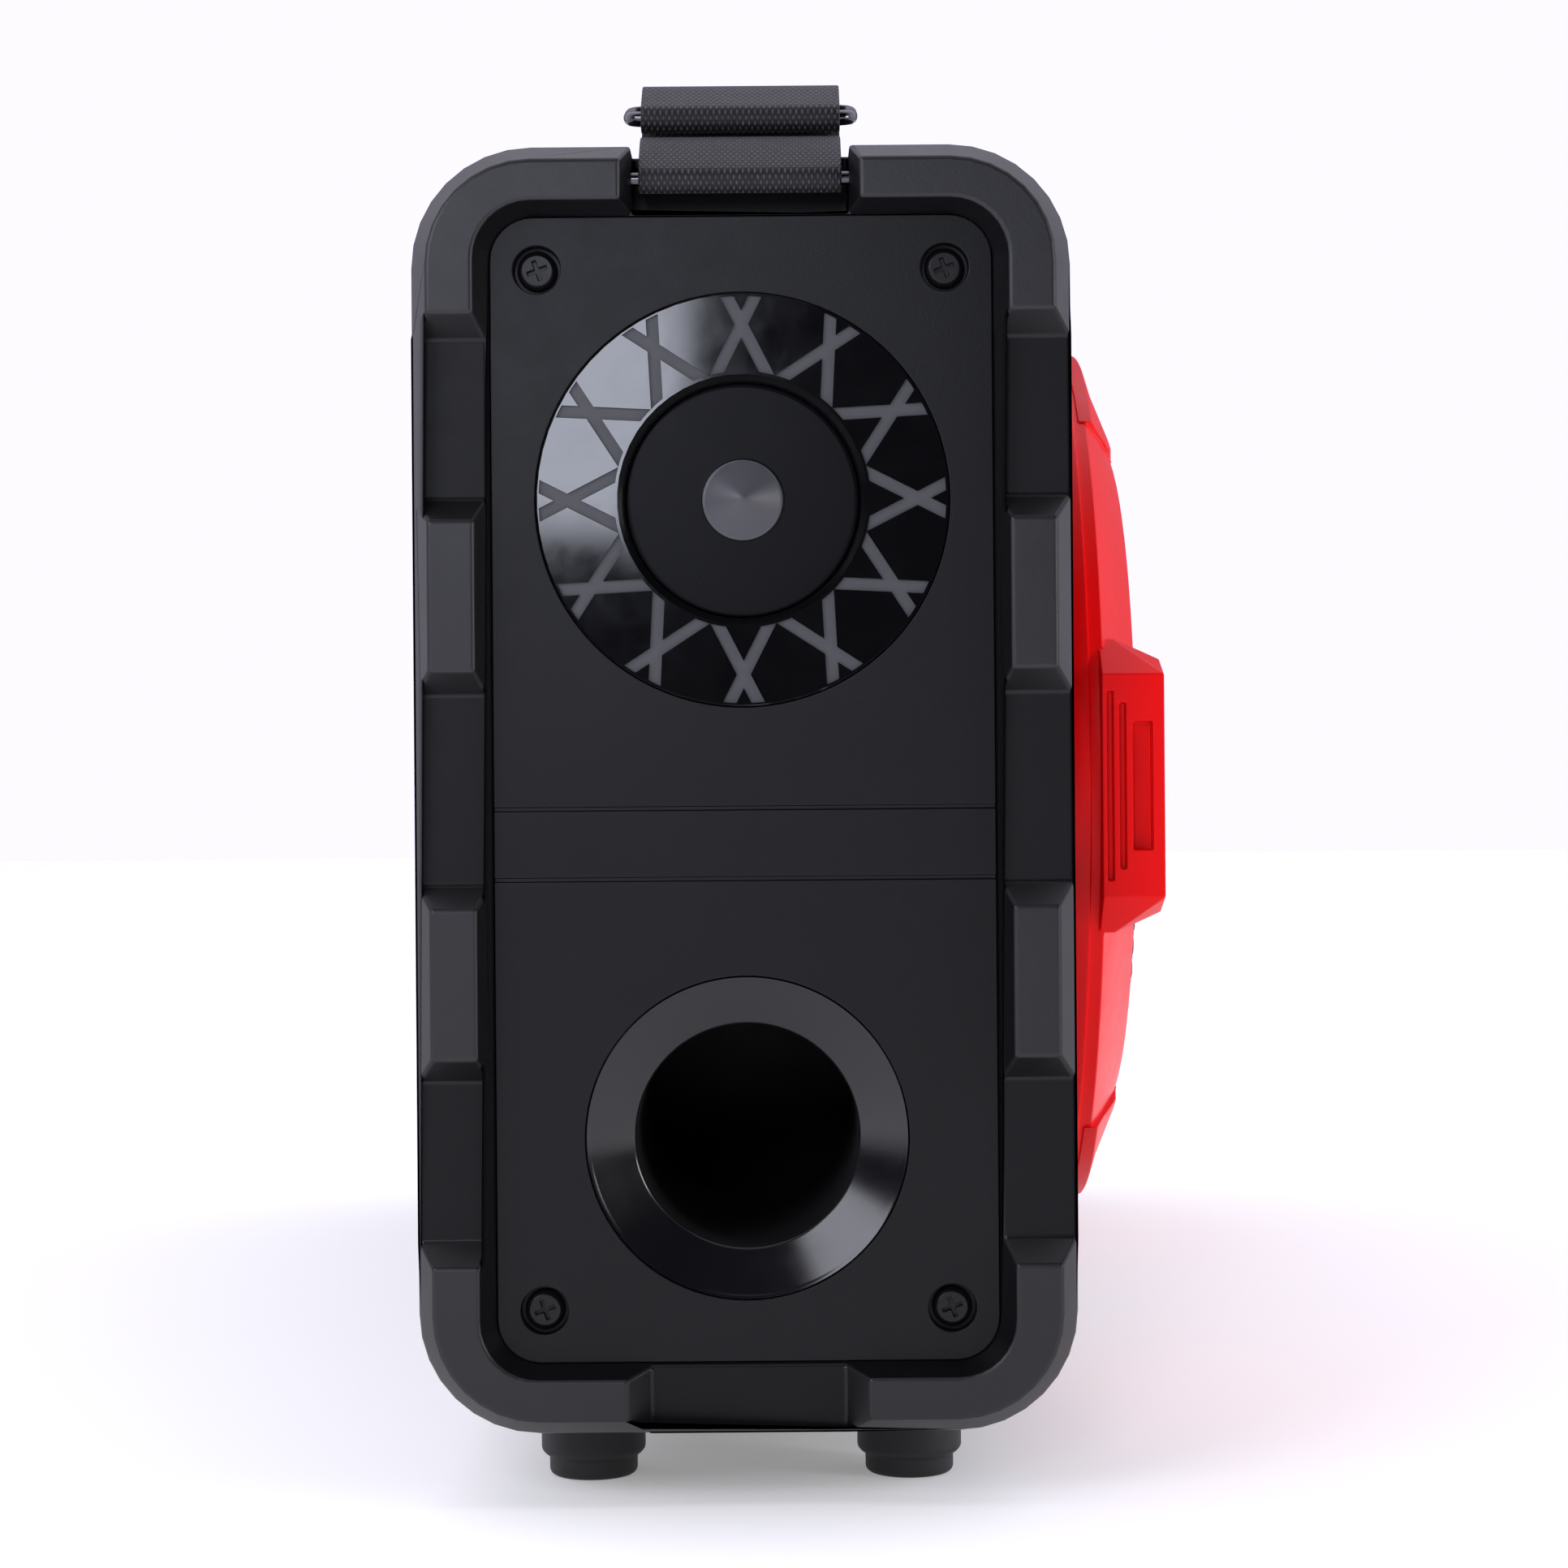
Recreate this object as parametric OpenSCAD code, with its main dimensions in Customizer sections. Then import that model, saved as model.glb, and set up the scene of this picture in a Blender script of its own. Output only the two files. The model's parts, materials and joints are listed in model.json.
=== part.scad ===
// Portable two-woofer loudspeaker with bumper end caps, side radiators, bass ports and a carry strap.
// Frame: +Z up, woofers face -Y, length along X; the origin is on the floor, under the middle
// of the overall box.

/* [Cabinet] */
// Overall length, over the end bumpers
body_l = 640; // [600:5:700]
// Depth over the bumpers, front to back
body_d = 164; // [160:1:180]
// Height over the bumpers
body_h = 320; // [318:1:340]
// Outside corner radius of the bumpers
corner_r = 30; // [26:1:34]
// Wall of the two cabinet shells
wall = 3.2; // [2.5:0.1:4]
// Floor to the underside of the bumpers
foot_h = 17.5; // [12:0.5:24]
// How far the front trim stands in front of the bumpers
front_proud = 25; // [25:0.5:30]

/* [End caps] */
// Depth of an end cap
cap_depth = 26; // [26:0.5:27]
// How far the panel is recessed behind the bumper pads
panel_sink = 8; // [7:0.5:9]
// How far the flats between the pads are recessed
flat_sink = 6.5; // [5:0.5:6.5]
// Width of the recessed panel
panel_w = 125.4; // [122:0.2:128]
// Height of the recessed panel
panel_h = 285.6; // [280:0.2:288]
// Width of the outer bevel round the bumper
bevel_w = 4.4; // [3:0.2:6]
// Half spacing of the panel screws across
screw_u = 50.8; // [48:0.2:52]
// Half spacing of the panel screws in height
screw_v = 129.6; // [126:0.2:131]

/* [Side radiator and port] */
// Height of the radiator above the panel's middle
rad_v = 72; // [70:0.5:76]
// Outside radius of the radiator's trim ring
rad_r = 51.5; // [50:0.5:52]
// Radius of the moving radiator plate
plate_r = 29.1; // [28:0.1:29.2]
// Height of the port below the panel's middle
port_v = 87; // [84:0.5:90]
// Bore radius of the port
port_r = 28; // [26:0.5:29]
// Outside radius of the port's flare
flare_r = 40.2; // [38:0.2:41]
// Length of the port tube behind the panel
port_l = 102; // [60:1:110]

/* [Woofers] */
// Half distance between the woofers
woofer_x = 168; // [167:0.5:169]
// Height of the woofers above the cabinet's middle
woofer_v = 3; // [0:0.5:6]
// Outside radius of the trim ring
ring_r = 123; // [121:0.5:123]
// Radius of the grille inside the trim ring
grille_r = 91.2; // [90:0.1:91.2]
// Radius of the moving cone
cone_r = 73.6; // [70:0.2:73.6]

/* [Console] */
// Width of the centre console
console_w = 84; // [80:1:86]
// Height of the centre console
console_h = 236; // [220:1:250]
// Front of the console, ahead of the bumpers
console_p = 9; // [8:0.5:10]
// Radius of the volume knob
knob_r = 21; // [18:0.5:24]

/* [Strap] */
// Width of the webbing
web_w = 50.6; // [48:0.2:51]
// Thickness of the webbing
web_t = 1.5; // [1.2:0.1:1.6]
// Rise of the strap's arch between its ends
web_rise = 20; // [10:1:30]

/* [Hidden] */
$fn = 64;

back_y = (body_d + front_proud) / 2;
front_y = back_y - body_d;
mid_y = (back_y + front_y) / 2;
mid_z = foot_h + body_h / 2;
slack = 0.3;                  // gap between neighbouring pieces that don't clamp
cap_wall = 3.5;
panel_t = 5;
flange_w = 3;                 // the panel's flange, under the bumper frame
flange_z = 11;                // depth of the frame's seat for that flange
shell_d = body_d - 2 * (cap_wall + slack);
shell_h = body_h - 2 * (cap_wall + slack);
shell_r = corner_r - cap_wall - slack;
shell_l = body_l - 2 * (panel_sink + panel_t + slack);
split_y = front_y + 34;       // joint between the front and rear shells
shell_p = -(body_d - shell_d) / 2;   // face of the front shell, measured from the bumper plane
baffle_t = 6;
chamber_x = 95;
foot_x = body_l / 2 - 44;
foot_y = 41;
foot_top = foot_h + (body_h - shell_h) / 2;
pocket_u = 27.2;              // half width of the strap pocket
pocket_v = panel_h / 2 + 0.2; // floor of the strap pocket
pocket_w = 22;                // depth of the strap pocket
pin_v = 152.2;
pin_w = -10;
pin_r = 1.75;
bar_near = [-27.6, 170.9];    // strap ring's bars, as depth and height on the end
bar_far = [-41.5, 175.1];
bar_r = 2;
ring_half = 30;               // half width of the strap ring
wrap_r = bar_r + 0.2 + web_t;
tail_l = 38.5;                // stitched part of the strap beyond its ring
tail_top = [bar_far[0] + 2, bar_far[1] + 6.5];   // where the strap lies on the ring's far bar
tail_slope = 4 * web_rise / (body_l + 2 * (bar_far[0] - tail_l));
mic_x = 24;
socket_v = -72;
button_w = 20;
button_h = 11;
button_rows = [-16, -34];
knob_v = 30;
plate_v = -20;                // height of the rear plate from the cabinet's middle
plate_w = 160;
plate_h = 94;
plate_t = 2.5;
corner_steps = 8;

black = [0.09, 0.09, 0.1];
satin = [0.16, 0.16, 0.18];
red = [0.86, 0.08, 0.08];
steel = [0.75, 0.75, 0.77];
board = [0.1, 0.35, 0.2];
cloth = [0.13, 0.13, 0.14];

// ---- places ----

module left_end() { translate([-body_l / 2, mid_y, mid_z]) rotate([90, 0, -90]) children(); }

// Children are drawn looking at the end: x to the front of the cabinet, y up, z out of the end
module on_end(side) {
    if (side < 0) left_end() children();
    else mirror([1, 0, 0]) left_end() children();
}

// Children are drawn looking at the front: z out of the front, from the bumper plane
module on_front(x, v) { translate([x, front_y, mid_z + v]) rotate([90, 0, 0]) children(); }

// Children are drawn looking at the back: z out of the back shell's face
module on_back(v) { translate([0, mid_y + shell_d / 2, mid_z + v]) rotate([90, 0, 180]) children(); }

// ---- shapes ----

function rounded(w, h, r) = [for (q = [0:3], i = [0:corner_steps])
    let (a = 90 * q + 90 * i / corner_steps, sx = (q == 0 || q == 3) ? 1 : -1, sy = q < 2 ? 1 : -1)
    [sx * (w / 2 - r) + r * cos(a), sy * (h / 2 - r) + r * sin(a)]];

// Plate with rounded corners, standing on z
module slab(w, h, r, z, t) { translate([0, 0, z]) linear_extrude(t) polygon(rounded(w, h, r)); }

// Straight run of a polygon drawn in (y, z), along x
module run_x(half, points) {
    translate([-half, 0, 0]) rotate([90, 0, 90]) linear_extrude(2 * half) polygon(points);
}

// Straight run of a polygon drawn in (x, z), from y = top downwards
module run_y(top, length, points) {
    translate([0, top, 0]) rotate([90, 0, 0]) linear_extrude(length) polygon(points);
}

module tube(r_out, r_in, z, h) {
    translate([0, 0, z]) difference() {
        cylinder(r = r_out, h = h);
        translate([0, 0, -1]) cylinder(r = r_in, h = h + 2);
    }
}

// Round bar between two points
module rod(a, b, r) {
    d = b - a;
    translate(a) rotate([0, acos(d[2] / norm(d)), atan2(d[1], d[0])]) cylinder(r = r, h = norm(d), $fn = 24);
}

// Pan-head screw with a cross recess, head up, shank down from z = 0
module pan_screw(head_r, head_h, shank_r, shank_l) {
    difference() {
        union() {
            cylinder(r = head_r, h = head_h * 0.6);
            translate([0, 0, head_h * 0.6]) cylinder(r1 = head_r, r2 = head_r * 0.75, h = head_h * 0.4);
            translate([0, 0, -shank_l]) cylinder(r = shank_r, h = shank_l);
        }
        for (a = [0, 90]) rotate(a) translate([-head_r * 0.52, -head_r * 0.11, head_h * 0.4])
            cube([head_r * 1.04, head_r * 0.22, head_h]);
    }
}

// ---- cabinet ----

module shell_tube() {
    difference() {
        translate([-shell_l / 2, mid_y, mid_z]) rotate([90, 0, 90]) linear_extrude(shell_l)
            polygon(rounded(shell_d, shell_h, shell_r));
        children();
        for (s = [-1, 1]) on_end(s)      // room for the strap pockets
            translate([-pocket_u - 3.5, pocket_v - 3.5, -pocket_w - 3.5]) cube([2 * pocket_u + 7, 40, 30]);
    }
}

module front_shell() color(black) difference() {
    shell_tube() {
        translate([-shell_l, split_y - slack, 0]) cube([2 * shell_l, body_d, 2 * body_h]);
        translate([-shell_l, 0, mid_z]) rotate([90, 0, 90])
            linear_extrude(2 * shell_l) translate([mid_y + baffle_t, 0])
            polygon(rounded(shell_d, shell_h - 2 * wall, shell_r - wall));
    }
    for (s = [-1, 1]) on_front(s * woofer_x, woofer_v) {
        translate([0, 0, -20]) cylinder(r = 88.5, h = 20);
        for (i = [0:3]) rotate(45 + 90 * i) translate([93, 0, -20]) cylinder(r = 1.6, h = 20, $fn = 24);
    }
    on_front(0, woofer_v) slab(console_w - 10, console_h - 20, 4, -20, 20);
}

module rear_shell() color(black) difference() {
    union() {
        shell_tube() {
            translate([-shell_l, split_y - body_d, 0]) cube([2 * shell_l, body_d, 2 * body_h]);
            translate([-shell_l, mid_y, mid_z]) rotate([90, 0, 90]) linear_extrude(2 * shell_l)
                polygon(rounded(shell_d - 2 * wall, shell_h - 2 * wall, shell_r - wall));
        }
        for (s = [-1, 1]) chamber_wall(s * chamber_x);
    }
    on_back(plate_v) {
        slab(plate_w + 1, plate_h + 1, 6, -plate_t + 0.5, 10);
        slab(plate_w - 14, plate_h - 14, 4, -10, 20);
        plate_screw_holes();
    }
    at_feet() translate([0, 0, foot_top - 1]) cylinder(r = 2.05, h = 8);
}

// Wall between a woofer's chamber and the electronics, with a hole for the lead
module chamber_wall(x) difference() {
    translate([x - 1.25, mid_y, mid_z]) rotate([90, 0, 90]) linear_extrude(2.5)
        polygon(rounded(shell_d - 2 * wall + 1, shell_h - 2 * wall + 1, shell_r - wall + 0.5));
    translate([x - 5, split_y + 3 - body_d, 0]) cube([10, body_d, 2 * body_h]);
    translate([x - 5, 24.5, mid_z + 2.4]) rotate([0, 90, 0]) cylinder(r = 5, h = 10);
}

module at_feet() {
    for (x = [-1, 1], y = [-1, 1]) translate([x * foot_x, mid_y + y * foot_y, 0]) children();
}

module at_cap_screws() {
    for (u = [-1, 1], v = [-1, 1]) translate([u * screw_u, v * screw_v, 0]) children();
}

// Gap between two bumper pads, open to the outside, with sloping ends
module pad_gap(low, high) {
    run_x(body_d, [[low - 6, 1], [low - 6, 0], [low, -flat_sink], [high, -flat_sink], [high + 6, 0], [high + 6, 1]]);
}

module end_cap(side) {
    color(satin) on_end(side) difference() {
        union() {
            difference() {
                hull() {
                    slab(body_d, body_h, corner_r, -cap_depth, cap_depth - flat_sink - 0.5);
                    slab(body_d - 2 * bevel_w, body_h - 2 * bevel_w, corner_r - bevel_w, -0.1, 0.1);
                }
                slab(shell_d + 2 * slack, shell_h + 2 * slack, shell_r, -cap_depth - 1,
                    cap_depth + 1 - panel_sink - panel_t);
                slab(panel_w + 2 * flange_w + slack, panel_h + 2 * flange_w + slack, 14, -20, 20 - flange_z);
            }
            difference() {
                translate([-pocket_u - 2.8, pocket_v - 2.8, -pocket_w - 2.5])
                    cube([2 * pocket_u + 5.6, 18, 15]);
                slab(panel_w + 2 * flange_w, panel_h, 14, -panel_sink - panel_t - 0.1, 10);
            }
        }
        slab(panel_w, panel_h, 11, -20, 20);
        hull() {
            slab(panel_w, panel_h, 11, -panel_sink, 0.1);
            slab(panel_w + 7.4, panel_h + 6, 14.5, 0, 0.1);
        }
        pad_gap(-23.5, 23.5);
        for (s = [0, 1]) mirror([0, s, 0]) pad_gap(72.5, 112);
        run_y(-panel_h / 2 + 2, 30, [[-30, 1], [-30, 0], [-24, -flat_sink], [24, -flat_sink], [30, 0], [30, 1]]);
        run_y(body_h / 2 + 2, body_h / 2 + 2 - pocket_v, [[-29.8, 1], [-29.8, 0], [-pocket_u, -flat_sink],
            [-pocket_u, -pocket_w], [pocket_u, -pocket_w], [pocket_u, -flat_sink], [29.8, 0], [29.8, 1]]);
        translate([-32, pin_v, pin_w]) rotate([0, 90, 0]) cylinder(r = pin_r + 0.1, h = 64);
    }
}

// Panel with the radiator and the port, held behind the bumper frame by its flange
module end_panel(side) color(black) on_end(side) difference() {
    union() {
        slab(panel_w - 0.3, panel_h - 0.3, 10.8, -panel_sink - panel_t, panel_t);
        difference() {
            slab(panel_w + 2 * flange_w, panel_h + 2 * flange_w, 14, -panel_sink - panel_t, 1.9);
            translate([-pocket_u - 3.1, panel_h / 2 - 0.1, -20]) cube([2 * pocket_u + 6.2, 10, 20]);
        }
        at_cap_screws() translate([0, 0, -24]) cylinder(r = 7, h = 14);
    }
    translate([0, rad_v, -panel_sink - 3]) cylinder(r = rad_r + 0.2, h = 12);
    translate([0, rad_v, -20]) cylinder(r = 47, h = 20);
    translate([0, -port_v, -20]) cylinder(r = flare_r + 0.2, h = 20);
    at_cap_screws() {
        translate([0, 0, -panel_sink - 4]) cylinder(r = 6, h = 12);
        translate([0, 0, -30]) cylinder(r = 2.05, h = 30, $fn = 24);
    }
    for (v = [-4.8, -22.4]) translate([-panel_w / 2, v - 0.5, -panel_sink - 0.6]) cube([panel_w, 1, 2]);
}

module cap_screws() color(black) for (s = [-1, 1]) on_end(s) at_cap_screws()
    translate([0, 0, -panel_sink - 4]) rotate(20) pan_screw(5, 2.8, 1.95, 18);

module case_screws() color(black) {
    at_feet() translate([0, 0, 8]) mirror([0, 0, 1]) pan_screw(4, 2.6, 1.95, 16);
    on_back(plate_v) at_plate_screws() pan_screw(3.5, 2, 1.5, 9);
}

module feet() color(black) at_feet() difference() {
    rotate_extrude() polygon([[0, 0], [10.4, 0], [11.4, 1], [11.4, 4.8], [12.6, 5.6], [13.5, 6.6],
        [13.5, foot_top], [0, foot_top]]);
    translate([0, 0, -1]) cylinder(r = 4.5, h = 9);
    cylinder(r = 2.05, h = 30, $fn = 24);
}

// ---- side radiator and port ----

module radiator_rings() color(black) for (s = [-1, 1]) on_end(s) translate([0, rad_v, -panel_sink]) difference() {
    rotate_extrude($fn = 96) polygon([[plate_r + 0.4, -3], [plate_r + 0.4, -1.8], [31.2, 0.8],
        [rad_r - 0.4, 0.8], [rad_r, 0.4], [rad_r, -3]]);
    intersection() {
        tube(50.7, 31.9, 0, 4);
        for (i = [0:11], s = [-1, 1]) rotate(90 + 30 * i) translate([43.6, 0, 0]) rotate(27 * s)
            translate([-20, -1.55, 0]) cube([40, 3.1, 4]);
    }
}

module radiator_frames() color(satin) for (s = [-1, 1]) on_end(s) translate([0, rad_v, -panel_sink - panel_t])
    difference() {
        rotate_extrude() polygon([[50, 0], [50, -2.5], [46, -2.5], [46, -11], [44, -11], [44, 0]]);
        for (i = [0:3]) rotate(45 + 90 * i) translate([48, 0, -4]) cylinder(r = 1, h = 6, $fn = 24);
    }

module radiator_surrounds() color(black) for (s = [-1, 1]) on_end(s)
    translate([0, rad_v, -panel_sink - 3.4]) rotate_extrude() difference() {
        union() {
            translate([37, 0]) circle(r = 5.5);
            translate([29.5, -1.4]) square([16.5, 1.4]);
        }
        translate([37, 0]) circle(r = 4.3);
        translate([20, 0]) square([40, 20]);
    }

module radiator_plate(side) color(satin) on_end(side) translate([0, rad_v, -panel_sink]) union() {
    translate([0, 0, -3.5]) cylinder(r = plate_r, h = 1.8);
    translate([0, 0, -1.7]) cylinder(r = 10, h = 0.6);
    translate([0, 0, -1.1]) cylinder(r1 = 9.6, r2 = 0.6, h = 5.2);
    translate([0, 0, -9]) cylinder(r = 24, h = 5.5);
}

module port_flares() color(black) for (s = [-1, 1]) on_end(s) translate([0, -port_v, -panel_sink])
    rotate_extrude($fn = 96) polygon([[port_r, -7], [port_r, -6.5], [flare_r - 0.3, 0], [flare_r, 0],
        [flare_r, -5.2], [44, -5.2], [44, -7], [34, -7], [34, -14], [31.1, -14], [31.1, -7]]);

module port_tubes() color(black) for (s = [-1, 1]) on_end(s) translate([0, -port_v, -panel_sink])
    tube(31, port_r, -port_l, port_l - 7.1);

// ---- woofers ----

module woofer_ring(side) color(red) on_front(side * woofer_x, woofer_v) difference() {
    union() {
        rotate_extrude($fn = 128) polygon([[ring_r - 4.5, shell_p], [ring_r, shell_p], [ring_r, 6.3],
            [ring_r - 1.5, 6.3], [ring_r - 1.5, 10], [94, 21], [grille_r + 0.3, 21],
            [grille_r + 0.3, 17.5], [ring_r - 4.5, 7]]);
        for (m = [0, 1]) mirror([0, m, 0]) intersection() {      // crown at the top and bottom
            rotate_extrude($fn = 128) polygon([[grille_r + 0.3, 17], [grille_r + 0.3, 21.8], [101, 20],
                [114, 14.4], [ring_r - 1, 11.8], [ring_r - 1, 8], [ring_r - 4.5, 7]]);
            linear_extrude(40) polygon([[-77.3, 95.4], [-28.7, 88.4], [28.7, 88.4], [77.3, 95.4],
                [90, 130], [-90, 130]]);
        }
        for (m = [0, 1]) mirror([m, 0, 0]) ring_lug();
    }
    for (m = [0, 1]) mirror([m, 0, 0]) {
        translate([-130, -24.2 - woofer_v, 10.3]) cube([8.4, 48.4, 1.6]);
        translate([-130, -21.2 - woofer_v, 13.5]) cube([8.4, 42.4, 1.6]);
        translate([-130, -16.4 - woofer_v, 16.9]) cube([10.5, 32.8, 5]);
    }
}

// Block across the trim ring's rim, with chamfered corners towards the end of the cabinet
module ring_lug() {
    hull() {
        translate([-124.5, -woofer_v, 0])
            run_x(0.05, [[-28.5, 9], [28.5, 9], [28.5, front_proud], [-28.5, front_proud]]);
        translate([-105, -woofer_v, 0]) run_x(9, [[-38, 9], [38, 9], [38, 13], [32.5, front_proud],
            [-32.5, front_proud], [-38, 13]]);
    }
}

module grilles() color(black) for (s = [-1, 1]) on_front(s * woofer_x, woofer_v) rotate_extrude($fn = 96)
    polygon([[0, 22.5], [40, 22.1], [70, 21.1], [88.4, 19.9], [88.4, 12], [grille_r, 12],
        [grille_r, 21.2], [70, 22.4], [40, 23.3], [0, 23.7]]);

module baskets() color(satin) for (s = [-1, 1]) on_front(s * woofer_x, woofer_v) difference() {
    rotate_extrude($fn = 96) polygon([[22, -52], [52.5, -52], [88.2, -6.5], [88.2, shell_p], [98, shell_p],
        [98, shell_p + 2.5], [85.6, shell_p + 2.5], [85.6, -5], [50, -50], [22, -50]]);
    for (i = [0:5]) rotate(60 * i) translate([70, 0, -40]) rotate([0, 45, 0])
        slab(22, 30, 5, -30, 60);
    for (i = [0:3]) rotate(45 + 90 * i) translate([93, 0, -20]) cylinder(r = 1.6, h = 30, $fn = 24);
}

module magnets() color(steel) for (s = [-1, 1]) on_front(s * woofer_x, woofer_v) {
    rotate_extrude() polygon([[0, -74], [45, -74], [45, -52.1], [20, -52.1], [20, -69], [16, -69],
        [16, -50], [0, -50]]);
}

module cone_surrounds() color(black) for (s = [-1, 1]) on_front(s * woofer_x, woofer_v)
    translate([0, 0, -4]) rotate_extrude($fn = 96) difference() {
        union() {
            translate([79.5, 0]) circle(r = 5.2);
            translate([74, 0]) square([9.5, 1.4]);
        }
        translate([79.5, 0]) circle(r = 4);
        translate([60, -20]) square([40, 20]);
    }

module spiders() color([0.75, 0.55, 0.3]) for (s = [-1, 1]) on_front(s * woofer_x, woofer_v)
    rotate_extrude() polygon([[18.3, -44], [24, -42], [30, -46], [36, -42], [42, -46], [48, -44],
        [48, -43], [42, -45], [36, -41], [30, -45], [24, -41], [18.3, -43]]);

module cone(side) color(satin) on_front(side * woofer_x, woofer_v) rotate_extrude($fn = 96)
    polygon([[17.9, -31], [17.9, -29.6], [cone_r - 3, -4.2], [cone_r, -4.2], [cone_r, -5.2], [cone_r - 2.6, -5.2]]);

module dust_cap(side) color(black) on_front(side * woofer_x, woofer_v) rotate_extrude()
    polygon([[0, -16], [0, -15], [9, -16], [17, -19.5], [23, -25.4], [23, -26.8], [16.4, -20.4], [8.6, -17]]);

module voice_coil(side) color([0.72, 0.45, 0.2]) on_front(side * woofer_x, woofer_v) tube(17.8, 17, -62, 32);

module woofer_screws() color(steel) for (s = [-1, 1]) on_front(s * woofer_x, woofer_v)
    for (i = [0:3]) rotate(45 + 90 * i) translate([93, 0, shell_p + 2.5]) pan_screw(3.5, 2.2, 1.5, 12);

// ---- console ----

module at_buttons() {
    for (x = [-25, 0, 25]) translate([x, button_rows[0], 0]) children();
    for (x = [-12.5, 12.5]) translate([x, button_rows[1], 0]) children();
}

module console() color(black) on_front(0, woofer_v) difference() {
    slab(console_w, console_h, 8, shell_p, console_p - shell_p);
    slab(console_w - 6, console_h - 6, 5.5, shell_p - 1, console_p - shell_p - 1.5);
    translate([0, 80, 0]) {
        slab(64.4, 30.4, 3, console_p - 1.8, 5);
        slab(58, 24, 2, 0, 20);
    }
    translate([0, knob_v, 0]) cylinder(r = 4, h = 20);
    at_buttons() slab(button_w + 0.8, button_h + 0.8, 2.4, 0, 20);
    for (x = [-mic_x, mic_x]) translate([x, socket_v, 0]) cylinder(r = 5.5, h = 20);
    translate([0, socket_v, 0]) cylinder(r = 4.3, h = 20);
    translate([0, socket_v - 24, 0]) slab(16.4, 9.4, 1, 0, 20);
}

module display_window() color([0.2, 0.05, 0.06]) on_front(0, woofer_v) translate([0, 80, 0])
    slab(64, 30, 2.8, console_p - 1.7, 1.5);

module control_board() color(board) on_front(0, woofer_v) {
    slab(70, console_h - 24, 2, -12, 1.6);
    at_buttons() slab(6, 6, 0.5, -10.5, 3.6);
    translate([0, 80, 0]) slab(54, 20, 1, -10.5, 14);
}

module encoder() color(steel) on_front(0, woofer_v) translate([0, knob_v, 0]) difference() {
    union() {
        slab(12, 13, 0.8, -10.4, 7);
        translate([0, 0, -3.5]) cylinder(r = 3.8, h = 8);
    }
    translate([0, 0, -9.2]) cylinder(r = 3.05, h = 20);
}

module knob_shaft() color(steel) on_front(0, woofer_v) translate([0, knob_v, -9]) cylinder(r = 3, h = 29);

module volume_knob() color(red) on_front(0, woofer_v) translate([0, knob_v, console_p + 0.8]) difference() {
    union() {
        cylinder(r = knob_r, h = 3);
        translate([0, 0, 3]) cylinder(r1 = knob_r - 1.5, r2 = knob_r - 3, h = 11);
    }
    for (i = [0:23]) rotate(15 * i) translate([knob_r - 1.2, 0, 4]) cylinder(r = 1, h = 12, $fn = 24);
    translate([0, 0, -1]) cylinder(r = 3.02, h = 12.4);
    translate([knob_r - 9, -0.7, 13.2]) cube([6, 1.4, 2]);
}

module button(x, row) color(satin) on_front(x, woofer_v + button_rows[row]) {
    slab(button_w, button_h, 2, 4.8, console_p + 1.8 - 4.8);
    slab(button_w + 3, button_h + 3, 2, 3, 2);
    translate([0, 0, -5]) cylinder(r = 2, h = 8.5, $fn = 24);
}

module jack_sockets() color(black) on_front(0, woofer_v) {
    for (x = [-mic_x, mic_x]) translate([x, socket_v, 0]) jack(5.2, 3.25);
    translate([0, socket_v, 0]) jack(4, 1.85);
}

module jack(r_out, r_in) {
    difference() {
        union() {
            translate([0, 0, -8]) cylinder(r = r_out, h = console_p + 9);
            slab(2 * r_out + 3, 2 * r_out + 3, 1, -10.3, 12);
        }
        translate([0, 0, -6]) cylinder(r = r_in, h = 20);
    }
}

module usb_socket() color(steel) on_front(0, woofer_v) translate([0, socket_v - 24, 0]) difference() {
    slab(15.6, 8.6, 0.6, -10.3, console_p + 10.6);
    slab(13, 5.6, 0.4, -7, 30);
}

// ---- electronics ----

module amp_board() color(board) {
    on_back(plate_v) {
        slab(140, 78, 2, -36, 1.6);
        for (x = [-50, -34, -18]) translate([x, 18, -34.5]) cylinder(r = 6.3, h = 18);
        translate([-30, -16, -34.5]) cylinder(r = 9, h = 9);
        slab(10, 10, 1, -34.5, 6);
    }
}

module heat_sink() color(steel) on_back(plate_v) translate([38, 6, -32]) {
    translate([-24, -20, -2]) cube([48, 40, 4]);
    for (i = [0:7]) translate([-24 + 6.6 * i, -20, 1.9]) cube([1.6, 40, 22]);
}

module battery() color([0.15, 0.25, 0.5]) translate([0, 32, foot_top + wall + 34.2]) {
    cube([152, 60, 68], center = true);
    for (x = [-50, 50]) translate([x, 0, 34]) cylinder(r = 4, h = 4);
}

module power_supply() color(board) translate([150, mid_y + 44, mid_z + 34]) {
    cube([96, 1.6, 60], center = true);
    translate([-14, -16, 0]) cube([38, 31, 34], center = true);
    translate([28, 0, 10]) rotate([90, 0, 0]) cylinder(r = 10, h = 26);
}

module speaker_leads() color(black) for (s = [-1, 1]) {
    path = [[66, 52.8, -34], [86, 40, 2], [108, 2, woofer_v], [111, -14, woofer_v]];
    for (i = [0:2]) rod([s * path[i][0], path[i][1], mid_z + path[i][2]],
        [s * path[i + 1][0], path[i + 1][1], mid_z + path[i + 1][2]], 1.3);
    for (i = [1, 2]) translate([s * path[i][0], path[i][1], mid_z + path[i][2]]) sphere(r = 1.6, $fn = 24);
}

// ---- rear plate ----

module at_plate_screws() {
    for (x = [-1, 1], y = [-1, 1]) translate([x * (plate_w / 2 - 4), y * (plate_h / 2 - 4), 0]) children();
}

module plate_screw_holes() { at_plate_screws() translate([0, 0, -20]) cylinder(r = 1.6, h = 30, $fn = 24); }

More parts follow.
